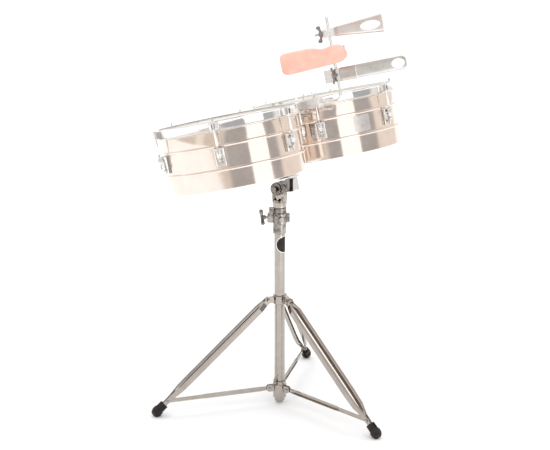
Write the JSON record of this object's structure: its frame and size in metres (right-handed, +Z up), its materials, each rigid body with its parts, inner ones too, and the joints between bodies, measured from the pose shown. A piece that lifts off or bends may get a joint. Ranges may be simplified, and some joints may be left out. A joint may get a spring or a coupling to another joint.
{
  "type": "timbales on stand",
  "caption": "Pair of metal-shelled timbales on a folding tripod stand with tilter, and a post carrying a small bell, a slotted plastic block and a wide bell.",
  "frame": {"origin": "where the column axis meets the floor plane under the feet", "axes": "+Z up; +X along the row of drums from the small drum to the large drum; -Y towards the audience side, where the bells are"},
  "size_m": [0.8025, 0.591, 1.0878],
  "materials": {
    "chrome": "polished",
    "shell": "polished rose bronze",
    "film": "smooth translucent film",
    "rubber": "matt",
    "bell": "brushed",
    "dark": "dark grey coat",
    "block": "satin moulded",
    "plastic": "matt",
    "steel": "plated"
  },
  "bodies": {
    "base": {"outer_tube": "chrome", "tube_end_plug": "chrome", "upper_hub": "chrome", "leg_pivot_bolts": "steel", "clamp_collar": "chrome"},
    "height_screw": {"height_tee_screw": "chrome"},
    "lower_hub": {"lower_hub": "chrome", "strut_hub_pins": "steel"},
    "hub_screw": {"hub_wing_screw": "chrome"},
    "height_lock": {"memory_lock": "chrome"},
    "upper_post": {"inner_tube": "chrome", "tilter_yoke": "chrome"},
    "tilt_bolt": {"tilt_bolt": "steel"},
    "drums": {"tilter_arm": "chrome", "tilt_ratchet": "chrome", "arm_cross_bolt": "steel", "mount_bracket": "chrome", "mount_bolts": "steel", "rod_clamp": "chrome", "small_shell": "shell", "small_head": "film", "small_hoop": "chrome", "small_claws": "chrome", "small_rods": "chrome", "small_nuts": "chrome", "small_brackets": "chrome", "small_bracket_bolts": "steel", "large_shell": "shell", "large_head": "film", "large_hoop": "chrome", "large_claws": "chrome", "large_rods": "chrome", "large_nuts": "chrome", "large_brackets": "chrome", "large_bracket_bolts": "steel"},
    "rod_screw_front": {"rod_clamp_wing_screw": "chrome"},
    "rod_screw_rear": {"rod_clamp_rear_wing_screw": "chrome"},
    "post": {"bell_post": "chrome"},
    "cha_bell": {"cha_bell": "bell", "cha_bell_eyebolt": "steel"},
    "cha_nut": {"cha_bell_wing_nut": "dark"},
    "mambo_bell": {"mambo_bell": "bell", "mambo_bell_eyebolt": "steel"},
    "mambo_nut": {"mambo_bell_wing_nut": "dark"},
    "block_clamp": {"jam_block_clamp": "steel"},
    "jam_block": {"jam_block": "block", "jam_block_stud": "steel"},
    "block_nut": {"jam_block_wing_nut": "steel"},
    "leg_right": {"leg_right_bars": "chrome", "leg_right_rivets": "steel", "leg_right_foot": "rubber"},
    "strut_right": {"strut_right": "chrome"},
    "leg_rear": {"leg_rear_bars": "chrome", "leg_rear_rivets": "steel", "leg_rear_foot": "rubber"},
    "strut_rear": {"strut_rear": "chrome"},
    "leg_left": {"leg_left_bars": "chrome", "leg_left_rivets": "steel", "leg_left_foot": "rubber"},
    "strut_left": {"strut_left": "chrome"}
  },
  "joints": [
    {"name": "height", "type": "slide", "parent": "base", "child": "height_lock", "axis": [0, 0, 1], "range_m": [0, 0.2]},
    {"name": "swivel", "type": "hinge", "parent": "height_lock", "child": "upper_post", "pos_m": [0, 0, 0.56], "axis": [0, 0, 1], "continuous": true},
    {"name": "drum_tilt", "type": "hinge", "parent": "upper_post", "child": "drums", "pos_m": [0, 0, 0.614], "axis": [1, 0, 0], "range_deg": [-25, 14]},
    {"name": "tilt_bolt_turn", "type": "hinge", "parent": "upper_post", "child": "tilt_bolt", "pos_m": [0, 0, 0.614], "axis": [1, 0, 0], "continuous": true},
    {"name": "height_screw_turn", "type": "hinge", "parent": "base", "child": "height_screw", "pos_m": [-0.01515, 0.01989, 0.5335], "axis": [-0.606, 0.7955, 0], "continuous": true},
    {"name": "fold_left", "type": "hinge", "parent": "base", "child": "leg_left", "pos_m": [-0.02663, 0.01949, 0.3028], "axis": [-0.5906, -0.807, 0], "range_deg": [0, 42.4]},
    {"name": "fold_right", "type": "hinge", "parent": "base", "child": "leg_right", "pos_m": [-0.00356, -0.03281, 0.3028], "axis": [0.9942, -0.108, 0], "range_deg": [0, 42.4]},
    {"name": "fold_rear", "type": "hinge", "parent": "base", "child": "leg_rear", "pos_m": [0.03019, 0.01332, 0.3028], "axis": [-0.4035, 0.915, 0], "range_deg": [0, 42.4]},
    {"name": "hub_rise", "type": "slide", "parent": "base", "child": "lower_hub", "axis": [0, 0, 1], "range_m": [0, 0.159]},
    {"name": "strut_turn_left", "type": "hinge", "parent": "lower_hub", "child": "strut_left", "pos_m": [-0.02364, 0.01731, 0.045], "axis": [-0.5906, -0.807, 0], "range_deg": [0, 81.8]},
    {"name": "strut_turn_right", "type": "hinge", "parent": "lower_hub", "child": "strut_right", "pos_m": [-0.00316, -0.02913, 0.045], "axis": [0.9942, -0.108, 0], "range_deg": [0, 81.8]},
    {"name": "strut_turn_rear", "type": "hinge", "parent": "lower_hub", "child": "strut_rear", "pos_m": [0.02681, 0.01182, 0.045], "axis": [-0.4035, 0.915, 0], "range_deg": [0, 81.8]},
    {"name": "hub_screw_turn", "type": "hinge", "parent": "lower_hub", "child": "hub_screw", "pos_m": [-0.01937, -0.00102, 0.0622], "axis": [-0.7989, -0.0419, 0.6], "continuous": true},
    {"name": "post_reach", "type": "slide", "parent": "drums", "child": "post", "axis": [0, -0.9707, 0.2402], "range_m": [-0.02, 0.05]},
    {"name": "rod_screw_front_turn", "type": "hinge", "parent": "drums", "child": "rod_screw_front", "pos_m": [0.0129, -0.10126, 0.87085], "axis": [0, 0.2402, 0.9707], "continuous": true},
    {"name": "rod_screw_rear_turn", "type": "hinge", "parent": "drums", "child": "rod_screw_rear", "pos_m": [0.0129, -0.06632, 0.8622], "axis": [0, 0.2402, 0.9707], "continuous": true},
    {"name": "cha_swivel", "type": "hinge", "parent": "post", "child": "cha_bell", "pos_m": [0.0129, -0.1458, 1.03639], "axis": [0, 0.2402, 0.9707], "range_deg": [-90, 90]},
    {"name": "cha_nut_turn", "type": "hinge", "parent": "cha_bell", "child": "cha_nut", "pos_m": [0.00078, -0.13035, 1.03257], "axis": [-0.606, 0.7722, -0.1911], "continuous": true},
    {"name": "mambo_swivel", "type": "hinge", "parent": "post", "child": "mambo_bell", "pos_m": [0.0129, -0.17174, 0.93156], "axis": [0, 0.2402, 0.9707], "range_deg": [-90, 90]},
    {"name": "mambo_nut_turn", "type": "hinge", "parent": "mambo_bell", "child": "mambo_nut", "pos_m": [-0.00656, -0.17621, 0.93266], "axis": [-0.9732, -0.2233, 0.0553], "continuous": true},
    {"name": "block_swivel", "type": "hinge", "parent": "post", "child": "block_clamp", "pos_m": [0.0129, -0.15949, 0.98106], "axis": [0, 0.2402, 0.9707], "range_deg": [-90, 90]},
    {"name": "block_tilt", "type": "hinge", "parent": "block_clamp", "child": "jam_block", "pos_m": [0.02623, -0.1748, 0.99206], "axis": [0.7955, 0.5882, -0.1456], "range_deg": [-8, 12]},
    {"name": "block_nut_turn", "type": "hinge", "parent": "jam_block", "child": "block_nut", "pos_m": [0.04055, -0.16421, 0.98944], "axis": [0.7955, 0.5882, -0.1456], "continuous": true}
  ],
  "couplings": [
    {"joint": "fold_right", "follows": "fold_left", "ratio": 1},
    {"joint": "fold_rear", "follows": "fold_left", "ratio": 1},
    {"joint": "hub_rise", "follows": "fold_left", "m_per_rad": 0.2142},
    {"joint": "strut_turn_left", "follows": "fold_left", "ratio": 1.928},
    {"joint": "strut_turn_right", "follows": "fold_left", "ratio": 1.928},
    {"joint": "strut_turn_rear", "follows": "fold_left", "ratio": 1.928}
  ]
}
